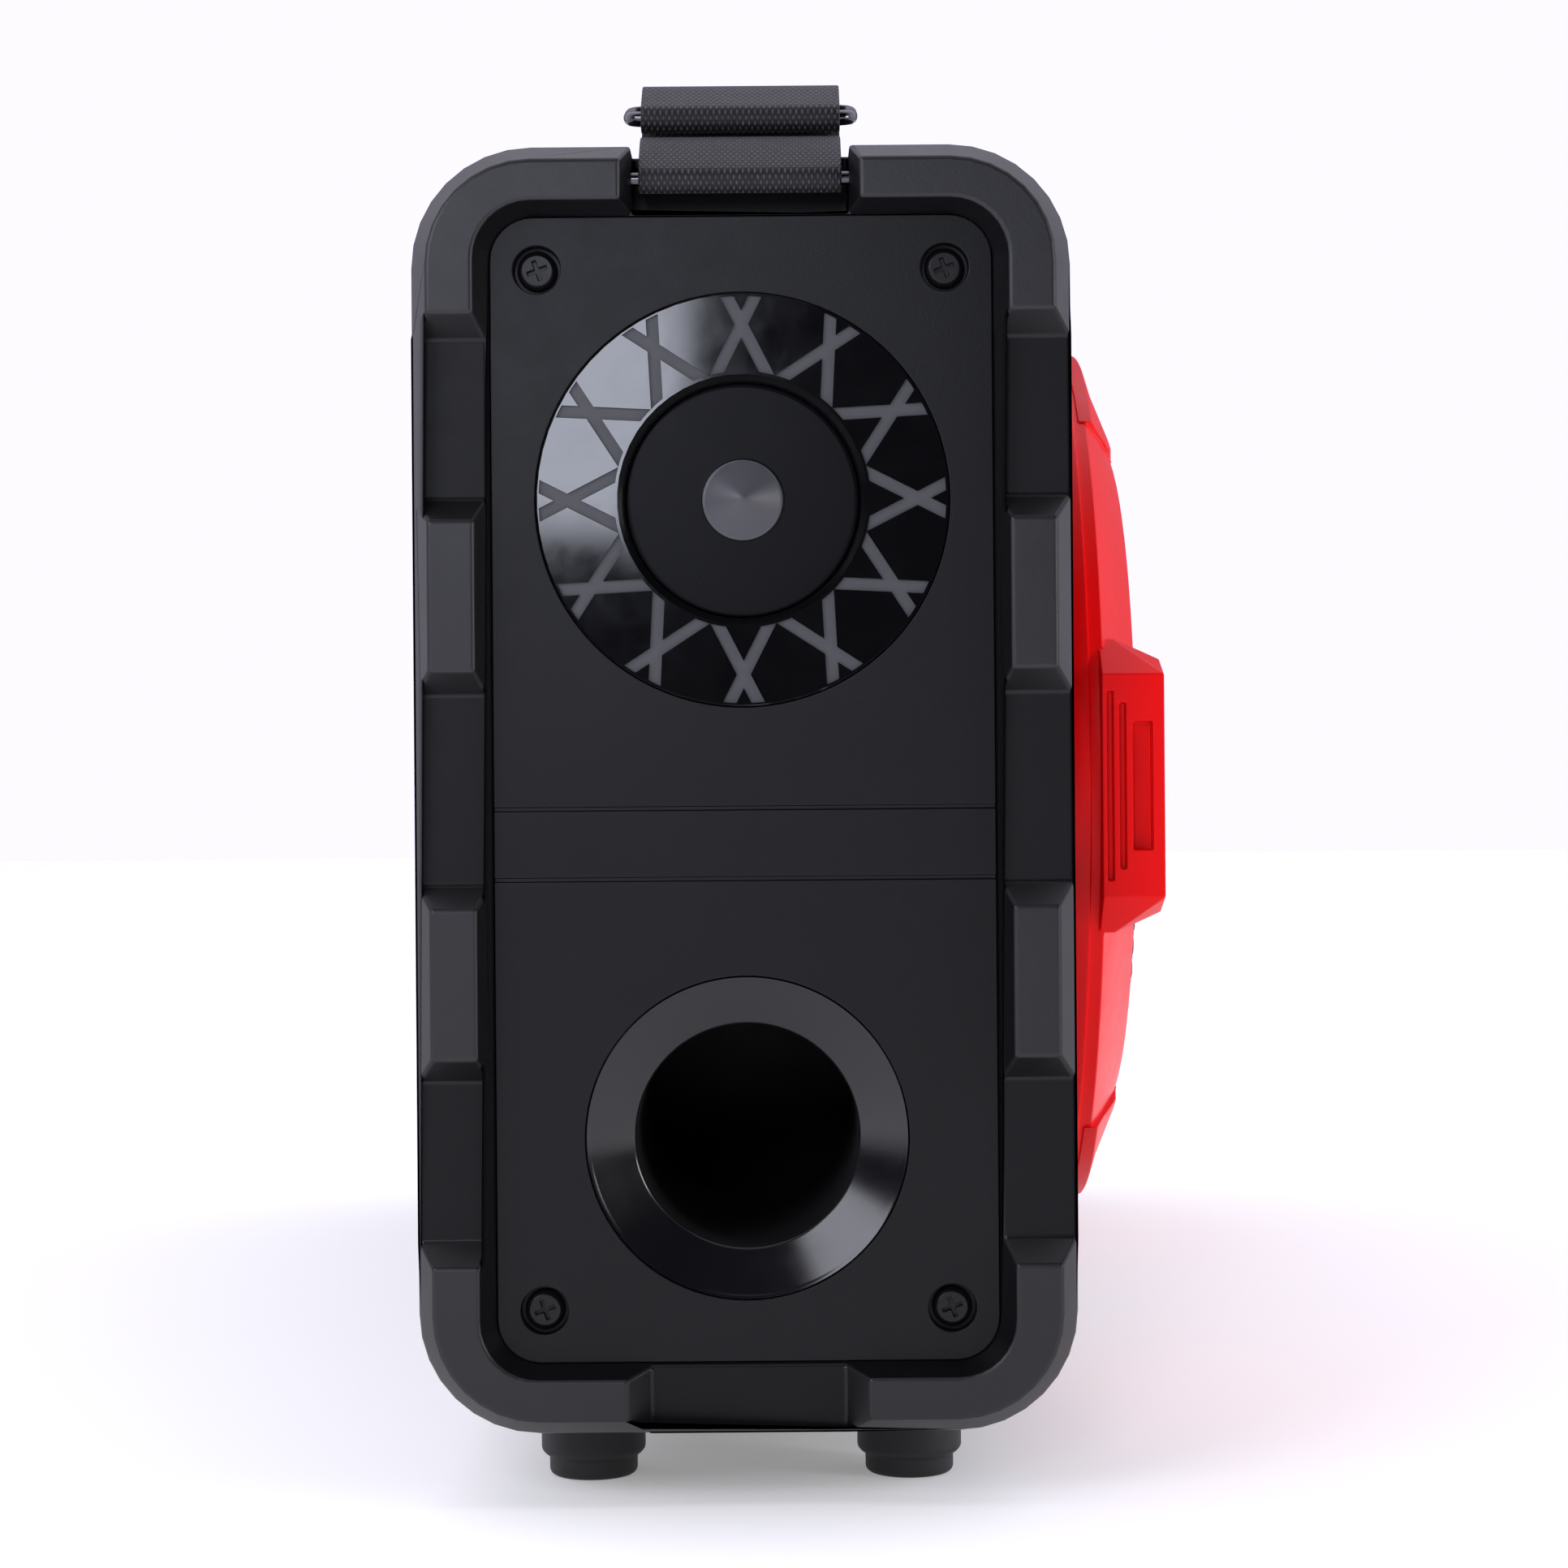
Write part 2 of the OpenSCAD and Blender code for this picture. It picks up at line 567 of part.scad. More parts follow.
module rear_plate() color(satin) on_back(plate_v) difference() {
    slab(plate_w, plate_h, 5.6, -plate_t + 0.6, plate_t);
    at_plate_screws() {
        translate([0, 0, -0.4]) cylinder(r = 4, h = 3);
        translate([0, 0, -20]) cylinder(r = 1.6, h = 30, $fn = 24);
    }
    translate([-44, 0, 0]) slab(27, 19, 2, -10, 20);
    translate([-10, 0, 0]) slab(20, 14, 1, -10, 20);
    for (i = [0:7]) translate([38 + 6.6 * (i - 3.5), 6, 0]) slab(3, 40, 1.4, -10, 20);
}

module mains_inlet() color(black) on_back(plate_v) translate([-44, 0, 0]) {
    difference() {
        union() {
            slab(31, 23, 3, 0.7, 1.6);
            slab(26.6, 18.6, 2, -16, 17);
        }
        slab(19, 10, 4.6, -9, 20);
    }
    for (x = [-4.3, 4.3]) translate([x, 0, -10]) cylinder(r = 1.2, h = 10, $fn = 24);
}

module switch_frame() color(black) on_back(plate_v) translate([-10, 0, 0]) difference() {
    union() {
        slab(23, 17, 2, 0.7, 1.4);
        slab(19.6, 13.6, 1, -12, 13);
    }
    slab(17.6, 11.4, 0.6, -11, 20);
    translate([0, 6.5, -2]) rotate([90, 0, 0]) cylinder(r = 1.25, h = 13, $fn = 24);
}

// Rocker, resting tipped to its off side
module power_rocker() color(red) on_back(plate_v) translate([-10, 0, -2]) rotate([0, -7, 0]) {
    translate([0, 5.4, 0]) rotate([90, 0, 0]) linear_extrude(10.8)
        polygon([[-7.9, 4.6], [0, 3.4], [7.9, 4.6], [6.6, -3.5], [-6.6, -3.5]]);
    translate([0, 6.3, 0]) rotate([90, 0, 0]) cylinder(r = 1.2, h = 12.6, $fn = 24);
}

// ---- carry strap ----

module anchor_pins() color(steel) for (s = [-1, 1]) on_end(s) translate([-29.9, pin_v, pin_w])
    rotate([0, 90, 0]) cylinder(r = pin_r, h = 59.8);

// Children are drawn in (depth, height) on the end and run along the webbing's width
module across(width) { rotate([0, -90, 0]) translate([0, 0, -width / 2]) linear_extrude(width) children(); }

// Webbing from the anchor pin, both layers together, under the near bar and up round the far bar
module strap_loop(side) color(cloth) on_end(side) across(web_w) difference() {
    for (i = [0:2]) hull() for (j = [i, i + 1]) translate([loop_path[j][0], loop_path[j][1]])
        circle(r = loop_path[j][2], $fn = 32);
    translate([pin_w, pin_v]) circle(r = pin_r + slack);
    translate(bar_far) circle(r = bar_r + 0.2);
}

loop_path = [[pin_w, pin_v, pin_r + slack + web_t], [-21.2, 163.4, 1.9], [-31, 165.2, 1.75],
    [bar_far[0], bar_far[1], wrap_r]];

module strap_ring(side) color(steel) on_end(side) {
    for (b = [bar_near, bar_far]) rod([-ring_half, b[1], b[0]], [ring_half, b[1], b[0]], bar_r);
    for (u = [-1, 1]) rod([u * (ring_half - bar_r), bar_near[1], bar_near[0]],
        [u * (ring_half - bar_r), bar_far[1], bar_far[0]], bar_r * 0.9);
}

// Webbing wrapped round the strap ring's near bar, then over the far bar, with its stitched tail
module strap_end(side) color(cloth) on_end(side) across(web_w) difference() {
    front = bar_near + wrap_r * [0.45, 0.89];
    end = tail_top + [-tail_l - 2, (tail_l + 2) * tail_slope];
    union() {
        translate(bar_near) circle(r = wrap_r);
        polygon([front, tail_top, end, end - [0, 2 * web_t], tail_top - [0, 2 * web_t], front - [0, 2 * web_t]]);
    }
    translate(bar_near) circle(r = bar_r + 0.2);
}

strap_half = body_l / 2 + bar_far[0] - tail_l - slack;
strap_z = mid_z + tail_top[1] + (tail_l + 2) * tail_slope;
function arch(x) = web_rise * 0.8 * (1 - pow(x / strap_half, 2));

module strap_web() color(cloth) translate([0, mid_y + web_w / 2, strap_z]) rotate([90, 0, 0])
    linear_extrude(web_w) polygon(concat(
        [for (i = [-12:12]) let (x = strap_half * i / 12) [x, arch(x)]],
        [for (i = [12:-1:-12]) let (x = strap_half * i / 12) [x, arch(x) - web_t]]));

rear_shell();
front_shell();
end_cap(-1);  // end_cap_left
end_cap(1);  // end_cap_right
end_panel(-1);  // end_panel_left
end_panel(1);  // end_panel_right
cap_screws();
case_screws();
feet();
radiator_rings();
radiator_frames();
radiator_surrounds();
radiator_plate(-1);  // radiator_plate_left
radiator_plate(1);  // radiator_plate_right
port_flares();
port_tubes();
woofer_ring(-1);  // woofer_ring_left
woofer_ring(1);  // woofer_ring_right
grilles();
baskets();
magnets();
cone_surrounds();
spiders();
cone(-1);  // cone_left
cone(1);  // cone_right
dust_cap(-1);  // dust_cap_left
dust_cap(1);  // dust_cap_right
voice_coil(-1);  // voice_coil_left
voice_coil(1);  // voice_coil_right
woofer_screws();
console();
display_window();
control_board();
encoder();
knob_shaft();
volume_knob();
button(-25, 0);  // button_back
button(0, 0);  // button_play
button(25, 0);  // button_next
button(-12.5, 1);  // button_mode
button(12.5, 1);  // button_light
jack_sockets();
usb_socket();
amp_board();
heat_sink();
battery();
power_supply();
rear_plate();
mains_inlet();
switch_frame();
power_rocker();
anchor_pins();
strap_loop(-1);  // strap_loop_left
strap_loop(1);  // strap_loop_right
strap_ring(-1);  // strap_ring_left
strap_ring(1);  // strap_ring_right
strap_end(-1);  // strap_end_left
strap_end(1);  // strap_end_right
strap_web();
speaker_leads();
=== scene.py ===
import json
import math

import bmesh
import bpy
from mathutils import Matrix, Vector


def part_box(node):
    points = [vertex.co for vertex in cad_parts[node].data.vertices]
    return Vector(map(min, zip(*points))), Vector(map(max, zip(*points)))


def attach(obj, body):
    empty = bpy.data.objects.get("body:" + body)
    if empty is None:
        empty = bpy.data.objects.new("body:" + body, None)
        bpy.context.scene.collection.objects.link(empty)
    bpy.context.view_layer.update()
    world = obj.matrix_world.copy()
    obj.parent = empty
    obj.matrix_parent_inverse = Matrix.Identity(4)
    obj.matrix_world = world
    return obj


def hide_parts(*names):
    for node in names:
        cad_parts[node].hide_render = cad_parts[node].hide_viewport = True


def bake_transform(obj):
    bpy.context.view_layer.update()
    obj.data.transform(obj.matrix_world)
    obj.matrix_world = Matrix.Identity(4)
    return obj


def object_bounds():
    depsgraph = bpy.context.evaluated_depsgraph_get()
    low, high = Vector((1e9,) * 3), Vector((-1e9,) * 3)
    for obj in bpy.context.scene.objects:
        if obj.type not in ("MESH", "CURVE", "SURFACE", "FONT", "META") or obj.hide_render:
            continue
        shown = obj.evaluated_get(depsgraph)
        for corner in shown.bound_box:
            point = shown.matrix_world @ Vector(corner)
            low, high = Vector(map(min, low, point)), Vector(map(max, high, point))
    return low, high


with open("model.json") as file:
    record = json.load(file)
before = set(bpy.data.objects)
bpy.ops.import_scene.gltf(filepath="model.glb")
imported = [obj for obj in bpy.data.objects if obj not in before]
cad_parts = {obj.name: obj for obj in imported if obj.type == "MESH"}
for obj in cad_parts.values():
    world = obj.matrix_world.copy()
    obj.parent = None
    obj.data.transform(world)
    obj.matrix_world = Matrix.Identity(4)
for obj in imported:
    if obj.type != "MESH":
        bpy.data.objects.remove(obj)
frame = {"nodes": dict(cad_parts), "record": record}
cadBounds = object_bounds()
nodes = frame["nodes"]
scene = bpy.context.scene

mm = 0.001


def linearColor(hexValue):   # sRGB hex to linear light
    channels = [int(hexValue[i:i + 2], 16) / 255 for i in (1, 3, 5)]
    return [c / 12.92 if c <= 0.04045 else ((c + 0.055) / 1.055) ** 2.4 for c in channels] + [1.0]


def addNode(tree, kind, settings=None, links=None):
    # attributes go on the node, anything else on the socket of that name or number
    node = tree.nodes.new("ShaderNode" + kind)
    for key, value in (settings or {}).items():
        if isinstance(key, str) and hasattr(node, key):
            setattr(node, key, value)
        else:
            node.inputs[key].default_value = value
    for key, source in (links or {}).items():
        tree.links.new(source, node.inputs[key])
    return node


def startMaterial(name, shaderSettings):
    material = bpy.data.materials.new(name)
    material.use_nodes = True
    tree = material.node_tree
    shader = tree.nodes["Principled BSDF"]
    for key, value in shaderSettings.items():
        shader.inputs[key].default_value = value
    coords = addNode(tree, "TexCoord")
    return material, tree, shader, coords.outputs["Object"]


def colorBetween(tree, shader, factor, low, high):
    # base colour drifts between two tones of the same material as the factor sets; on the webbing the factor
    # is a painted highlight on the stitch crowns
    mix = addNode(tree, "Mix", {"data_type": "RGBA", 6: linearColor(low), 7: linearColor(high)}, {0: factor})
    tree.links.new(mix.outputs[2], shader.inputs["Base Color"])


def roughnessBetween(tree, shader, factor, low, high):
    spread = addNode(tree, "MapRange", {"To Min": low, "To Max": high}, {"Value": factor})
    tree.links.new(spread.outputs["Result"], shader.inputs["Roughness"])


def bumpFrom(tree, shader, height, strength, distance):
    bump = addNode(tree, "Bump", {"Strength": strength, "Distance": distance}, {"Height": height})
    tree.links.new(bump.outputs["Normal"], shader.inputs["Normal"])


def newPiece(name, bm, material, body, replaced=(), sharpAngle=32):
    mesh = bpy.data.meshes.new(name)
    bm.to_mesh(mesh)
    bm.free()
    for polygon in mesh.polygons:
        polygon.use_smooth = True
    mesh.set_sharp_from_angle(angle=math.radians(sharpAngle))
    piece = bpy.data.objects.new(name, mesh)
    scene.collection.objects.link(piece)
    for one in (material if isinstance(material, list) else [material]):
        mesh.materials.append(one)
    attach(piece, body)
    if replaced:
        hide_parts(*replaced)
    return piece


def cadCopy(name, joined=True):
    # merged copy of a CAD node's triangles, with its flat faces joined up again
    # the corners' normals stay behind: only places and faces are copied
    source = nodes[name].data
    plain = bpy.data.meshes.new("plain")
    plain.from_pydata([v.co for v in source.vertices], [], [p.vertices for p in source.polygons])
    bm = bmesh.new()
    bm.from_mesh(plain)
    bpy.data.meshes.remove(plain)
    bmesh.ops.remove_doubles(bm, verts=bm.verts, dist=2e-6)
    if joined:
        bmesh.ops.dissolve_limit(bm, angle_limit=math.radians(1.2), verts=bm.verts, edges=bm.edges)
    return bm


def softenEdges(bm, width, segments=2, angle=24):
    sharp = [e for e in bm.edges if len(e.link_faces) == 2 and e.calc_face_angle(0) > math.radians(angle)]
    bmesh.ops.bevel(bm, geom=sharp, offset=width, offset_type="OFFSET", segments=segments,
                    profile=0.5, affect="EDGES", clamp_overlap=False, material=-1)


def weightNormals(piece):
    modifier = piece.modifiers.new("faceWeights", "WEIGHTED_NORMAL")
    modifier.keep_sharp = True
    modifier.weight = 80


# camera, floor and studio

# distance in front of the end in metres, lens and sensor in millimetres, roll in degrees
cameraSettings = {"distance": 0.800, "height": 0.1786, "side": 0.0027,
                  "lens": 74.5, "sensor": 36, "roll": -0.45}
cameraX = cadBounds[0][0] - cameraSettings["distance"]
cameraPlace = (cameraX, cameraSettings["side"], cameraSettings["height"])
cameraData = bpy.data.cameras.new("productCamera")
cameraData.lens = cameraSettings["lens"]
cameraData.sensor_width = cameraSettings["sensor"]
cameraData.clip_end = 30
camera = bpy.data.objects.new("productCamera", cameraData)
lookAlongX = Matrix.Rotation(math.radians(-90), 4, "Z") @ Matrix.Rotation(math.radians(90), 4, "X")
cameraRoll = Matrix.Rotation(math.radians(cameraSettings["roll"]), 4, "Z")
camera.matrix_world = Matrix.Translation(cameraPlace) @ lookAlongX @ cameraRoll
scene.collection.objects.link(camera)
scene.camera = camera
scene.view_settings.view_transform = "Standard"   # the red trim keeps its full strength

floorSettings = {"size": 14, "low": "#EFEEED", "high": "#F8F8F8", "roughness": 0.75, "glow": 0.24}
floorBm = bmesh.new()
bmesh.ops.create_grid(floorBm, x_segments=8, y_segments=8, size=floorSettings["size"] / 2)
floorMesh = bpy.data.meshes.new("studioFloor")
floorBm.to_mesh(floorMesh)
floorBm.free()
floorPiece = bpy.data.objects.new("studioFloor", floorMesh)
scene.collection.objects.link(floorPiece)
# white acrylic table, faintly lit from below as product tables are
floorMaterial, tree, shader, coords = startMaterial("whiteTable", {
    "Roughness": floorSettings["roughness"], "Specular IOR Level": 0.2,
    "Emission Color": (1.0, 0.99, 0.97, 1), "Emission Strength": floorSettings["glow"]})
noise = addNode(tree, "TexNoise", {"Scale": 1.5, "Detail": 2}, {"Vector": coords})
colorBetween(tree, shader, noise.outputs["Fac"], floorSettings["low"], floorSettings["high"])
floorMesh.materials.append(floorMaterial)

world = bpy.data.worlds.new("studioWorld")
scene.world = world
world.use_nodes = True
tree = world.node_tree
background = tree.nodes["Background"]
direction = addNode(tree, "TexCoord")
axes = addNode(tree, "SeparateXYZ", {}, {0: direction.outputs["Generated"]})
# pale paper all round, but for the unlit end of the studio behind the camera
studio = {"unlitEnd": (0.004, 0.004, 0.005, 1), "paper": (0.86, 0.84, 1.0, 1),
          "farEnd": (0.16, 0.155, 0.19, 1), "lighting": 1.8, "shown": 1.15}
alongX = addNode(tree, "MapRange", {"From Min": -1, "From Max": 1}, {"Value": axes.outputs[0]})
shade = addNode(tree, "ValToRGB", {}, {0: alongX.outputs[0]})
stops = shade.color_ramp.elements
stops[0].position, stops[0].color = 0.34, studio["unlitEnd"]
stops[1].position, stops[1].color = 0.56, studio["paper"]
for position, color in ((0.79, studio["paper"]), (0.90, studio["farEnd"])):
    stops.new(position).color = color
# the paper itself shows white; what it throws on the object is stronger, but for its far end
rays = addNode(tree, "LightPath")
seen = addNode(tree, "Mix", {"data_type": "RGBA", 7: studio["paper"]},
               {0: rays.outputs["Is Camera Ray"], 6: shade.outputs["Color"]})
tree.links.new(seen.outputs[2], background.inputs["Color"])
strength = addNode(tree, "MapRange", {"To Min": studio["lighting"], "To Max": studio["shown"]},
                   {"Value": rays.outputs["Is Camera Ray"]})
tree.links.new(strength.outputs["Result"], background.inputs["Strength"])

lights = {
    "overheadSoftbox": {"at": (-1.0, 0.66, 0.61), "look": (-0.32, 0.0, 0.08),
                        "size": (0.58, 0.50), "power": 5.5, "color": "#F1F2FF"},
    "leftSoftbox": {"at": (-1.32, 0.14, 0.47), "look": (-0.32, 0.12, 0.40),
                    "size": (0.17, 0.30), "power": 1.75, "color": "#E9EEFF"},
    "rightSoftbox": {"at": (-1.0, -1.55, 0.50), "look": (-0.3, -0.08, 0.18),
                     "size": (0.36, 0.5), "power": 6.5, "color": "#FFFFFF"},
    "frontSoftbox": {"at": (-0.5, -1.8, 0.8), "look": (0, -0.05, 0.18),
                     "size": (1.4, 1.0), "power": 2, "color": "#FFFFFF"},
}
skylight = {"power": 0.45, "spread": 70}
for name, box in lights.items():
    data = bpy.data.lights.new(name, "AREA")
    data.shape = "RECTANGLE"
    data.size, data.size_y = box["size"]
    data.energy = box["power"]
    data.color = linearColor(box["color"])[:3]
    light = bpy.data.objects.new(name, data)
    aim = (Vector(box["look"]) - Vector(box["at"])).to_track_quat("-Z", "Y")
    light.matrix_world = Matrix.Translation(box["at"]) @ aim.to_matrix().to_4x4()
    scene.collection.objects.link(light)
sunData = bpy.data.lights.new("skylight", "SUN")
sunData.energy = skylight["power"]
sunData.angle = math.radians(skylight["spread"])
scene.collection.objects.link(bpy.data.objects.new("skylight", sunData))
print("camera, floor and lights set")


# materials

def mouldedPlastic(name, low, high, roughness, grainSize, grainDepth, specular=0.5):
    # moulded thermoplastic: even colour with slight cloudiness, and a spark-eroded grain from the tool
    material, tree, shader, coords = startMaterial(name, {"IOR": 1.5, "Specular IOR Level": specular})
    cloud = addNode(tree, "TexNoise", {"Scale": 1 / (40 * mm), "Detail": 4, "Roughness": 0.6},
                    {"Vector": coords})
    colorBetween(tree, shader, cloud.outputs["Fac"], low, high)
    rub = addNode(tree, "TexNoise", {"Scale": 1 / (9 * mm), "Detail": 5, "Roughness": 0.65},
                  {"Vector": coords})
    roughnessBetween(tree, shader, rub.outputs["Fac"], roughness - 0.06, roughness + 0.06)
    if grainDepth:
        grain = addNode(tree, "TexNoise", {"Scale": 1 / grainSize, "Detail": 2, "Roughness": 0.5},
                        {"Vector": coords})
        bumpFrom(tree, shader, grain.outputs["Fac"], 0.35, grainDepth)
    return material


# black ABS, fine spark-eroded grain: a soft sparkle on a slightly cool black
grainedAbs = mouldedPlastic("grainedAbs", "#09090B", "#0E0E11", 0.39, 0.8 * mm, 0.07 * mm, 0.22)
# the bumper's low flats between its pads, left dull by the tool, and a darker black as painted shade for
# their recess
shadedFlatGrain = mouldedPlastic("shadedFlatGrain", "#08080A", "#0C0C0F", 0.46, 0.8 * mm, 0.05 * mm, 0.2)
# polypropylene bumper, satin from the tool and rubbed a little on its pads
bumperPlastic = mouldedPlastic("bumperPlastic", "#0B0B0D", "#0F0F12", 0.30, 0.8 * mm, 0.03 * mm, 0.28)
# plain ABS behind the outer faces, no texture in the tool
innerPlastic = mouldedPlastic("innerPlastic", "#0E0E0F", "#131314", 0.55, 0.8 * mm, 0.05 * mm)
# moulded rubber: dry and dark, a broad dull sheen
rubberBlack = mouldedPlastic("rubberBlack", "#111112", "#18181A", 0.62, 1.2 * mm, 0.05 * mm)
# soft-touch satin: smooth, with one wide highlight
satinBlack = mouldedPlastic("satinBlack", "#0B0B0E", "#101013", 0.30, 0.7 * mm, 0.005 * mm, 0.08)
# a rougher satin on the small cone in the middle, greyer partly in its own colour and partly as painted
# sheen
coneGreyAndSheen = mouldedPlastic("coneGreyAndSheen", "#3A3A3F", "#45454B", 0.42, 0.7 * mm, 0.01 * mm, 0.5)
# highly polished ABS, mirror black
pianoAbs = mouldedPlastic("pianoAbs", "#070709", "#0A0A0C", 0.08, 0.7 * mm, 0.0)
# polished flare: a touch softer than the piano faces
flareAbs = mouldedPlastic("flareAbs", "#0D0D10", "#111114", 0.17, 0.7 * mm, 0.0)
# etched floor of the grooves in the radiator's trim
etchedAbs = mouldedPlastic("etchedAbs", "#37373B", "#424246", 0.46, 0.6 * mm, 0.03 * mm)
# the bumper's pads: coarser grain, paler partly from rubbing where they take the knocks and partly as
# painted light on their raised tops
padGrainRubbedAndLit = mouldedPlastic("padGrainRubbedAndLit", "#131316", "#1A1A1D", 0.42, 0.9 * mm, 0.09 * mm, 0.42)
# red ABS, semi-gloss from the tool
redAbs = mouldedPlastic("redAbs", "#E80508", "#F2080B", 0.36, 0.9 * mm, 0.01 * mm, 0.14)
# black-oxide steel screws, oiled
screwBlack = mouldedPlastic("screwBlack", "#060607", "#0C0C0D", 0.36, 0.6 * mm, 0.01 * mm, 0.3)
# matt buttons, a shade greyer than the console
buttonPlastic = mouldedPlastic("buttonPlastic", "#202023", "#27272A", 0.48, 0.8 * mm, 0.03 * mm)
# glass-filled nylon of the sockets and the rear plate
socketNylon = mouldedPlastic("socketNylon", "#0F0F10", "#161617", 0.50, 0.8 * mm, 0.03 * mm)
# soft PVC over the speaker leads
leadPvc = mouldedPlastic("leadPvc", "#101011", "#1A1A1B", 0.45, 1.0 * mm, 0.02 * mm)
# smoked acrylic of the display window
smokedAcrylic = mouldedPlastic("smokedAcrylic", "#0A0506", "#160709", 0.05, 0.7 * mm, 0.0)
# blue PVC shrink wrap round the battery
shrinkWrap = mouldedPlastic("shrinkWrap", "#163A86", "#1D479C", 0.32, 6 * mm, 0.15 * mm)


def metalFinish(name, low, high, roughness, scratchLength, depth, metallic=1.0):
    # metal: its colour is its reflection, and fine wear runs one way along the part
    material, tree, shader, coords = startMaterial(name, {"Metallic": metallic})
    stretched = addNode(tree, "Mapping", {"Scale": (1.0, 14.0, 14.0)}, {"Vector": coords})
    streaks = addNode(tree, "TexNoise", {"Scale": 1 / scratchLength, "Detail": 4, "Roughness": 0.6},
                      {"Vector": stretched.outputs["Vector"]})
    colorBetween(tree, shader, streaks.outputs["Fac"], low, high)
    roughnessBetween(tree, shader, streaks.outputs["Fac"], roughness - 0.04, roughness + 0.06)
    bumpFrom(tree, shader, streaks.outputs["Fac"], 0.25, depth)
    return material


# chrome plating on the strap's rings and pins, its colour darkened as painted shade for the dim room it
# reflects
shadedChrome = metalFinish("shadedChrome", "#464549", "#5A595D", 0.14, 12 * mm, 0.004 * mm)
# zinc-plated steel: woofer screws, knob shaft, encoder and socket shell
zincSteel = metalFinish("zincSteel", "#A9ACB0", "#C2C4C8", 0.30, 9 * mm, 0.01 * mm)
# pressed steel basket under black paint
basketSteel = metalFinish("basketSteel", "#1A1A1C", "#26262A", 0.48, 9 * mm, 0.02 * mm, 0.4)
# ferrite ring between its plates
ferriteMagnet = metalFinish("ferriteMagnet", "#2A2B2D", "#3A3B3E", 0.55, 5 * mm, 0.03 * mm, 0.6)
# clear-anodised aluminium heat sink
anodisedSink = metalFinish("anodisedSink", "#8E9196", "#A4A7AC", 0.36, 8 * mm, 0.02 * mm)
# grille steel under matt black powder coat
powderCoat = metalFinish("powderCoat", "#0C0C0D", "#141416", 0.52, 1.2 * mm, 0.03 * mm, 0.0)


def fineMaterial(name, low, high, roughness, texture, settings, depth):
    # board, paper, cloth and wire: the pattern carries both the colour and the relief
    material, tree, shader, coords = startMaterial(name, {"Roughness": roughness})
    pattern = addNode(tree, texture, settings, {"Vector": coords})
    height = pattern.outputs["Distance" if texture == "TexVoronoi" else "Fac"]
    colorBetween(tree, shader, height, low, high)
    bumpFrom(tree, shader, height, 0.4, depth)
    return material


# solder-masked glass epoxy, its copper tracks showing as a paler green
circuitBoard = fineMaterial("circuitBoard", "#0E4A28", "#1C6B3C", 0.35, "TexVoronoi",
                            {"Scale": 1 / (3 * mm)}, 0.03 * mm)
# pressed pulp of the cone, fibres showing
conePulp = fineMaterial("conePulp", "#141416", "#232326", 0.82, "TexNoise",
                        {"Scale": 1 / (1.5 * mm), "Detail": 5}, 0.08 * mm)
# resin-dipped cotton of the spider
dippedCotton = fineMaterial("dippedCotton", "#8A5F2C", "#B58446", 0.80, "TexVoronoi",
                            {"Scale": 1 / (0.9 * mm)}, 0.10 * mm)
# enamelled copper wire, wound close
woundCopper = fineMaterial("woundCopper", "#7A3A12", "#B8652A", 0.32, "TexWave",
                           {"Scale": 1 / (6 * mm), "bands_direction": "Y"}, 0.10 * mm)

slotMaterials = {
    "abs_black": grainedAbs, "abs_textured": grainedAbs, "screw_black": screwBlack,
    "foot_rubber": rubberBlack, "surround_rubber": rubberBlack, "inner_plastic": innerPlastic,
    "gloss_black": pianoAbs, "satin_black": satinBlack, "red_plastic": redAbs,
    "grille_metal": powderCoat, "basket_steel": basketSteel, "magnet_steel": ferriteMagnet,
    "spider_cloth": dippedCotton, "cone_paper": conePulp, "coil_brass": woundCopper,
    "bright_steel": zincSteel, "chrome": shadedChrome, "heat_sink": anodisedSink,
    "window": smokedAcrylic, "board": circuitBoard, "battery_case": shrinkWrap,
    "button_plastic": buttonPlastic, "socket_plastic": socketNylon, "lead_rubber": leadPvc,
}
for part in frame["record"]["subparts"]:
    piece = nodes[part["node"]]
    piece.data.materials.clear()
    piece.data.materials.append(slotMaterials.get(part["material_slot"], innerPlastic))


def wovenNylon():
    # nylon webbing, plain weave: rows of plump weft stitches, every second row shifted by half,
    # so each one is raised on its crown by the bump and painted lighter there as a painted highlight; drawn
    # at its real pitch
    weave = {"acrossPitch": 1.5 * mm, "alongPitch": 2.4 * mm, "depth": 0.30 * mm,
             "low": "#030304", "high": "#55555C"}
    material, tree, shader, coords = startMaterial("wovenNylon", {
        "Roughness": 0.58, "Sheen Weight": 0.06, "Sheen Roughness": 0.4, "Specular IOR Level": 0.35})
    uv = addNode(tree, "UVMap")
    split = addNode(tree, "SeparateXYZ", {}, {0: uv.outputs["UV"]})
    waves = []
    for axis, pitch in ((0, weave["acrossPitch"]), (1, weave["alongPitch"])):
        turned = addNode(tree, "Math", {"operation": "MULTIPLY", 1: math.tau / pitch},
                         {0: split.outputs[axis]})
        waves.append(addNode(tree, "Math", {"operation": "COSINE"}, {0: turned.outputs[0]}))
    product = addNode(tree, "Math", {"operation": "MULTIPLY"},
                      {0: waves[0].outputs[0], 1: waves[1].outputs[0]})
    crown = addNode(tree, "MapRange", {"From Min": 0.05, "From Max": 0.9}, {"Value": product.outputs[0]})
    highlightNoise = addNode(tree, "TexNoise", {"Scale": 1 / (2.5 * mm), "Detail": 4}, {"Vector": coords})
    paintedCrownHighlight = addNode(tree, "Math", {"operation": "MULTIPLY"}, {0: crown.outputs[0], 1: highlightNoise.outputs["Fac"]})
    # stitch crowns painted lighter: a painted highlight, varied by noise
    colorBetween(tree, shader, paintedCrownHighlight.outputs[0], weave["low"], weave["high"])
    bumpFrom(tree, shader, crown.outputs[0], 0.8, weave["depth"])
    return material


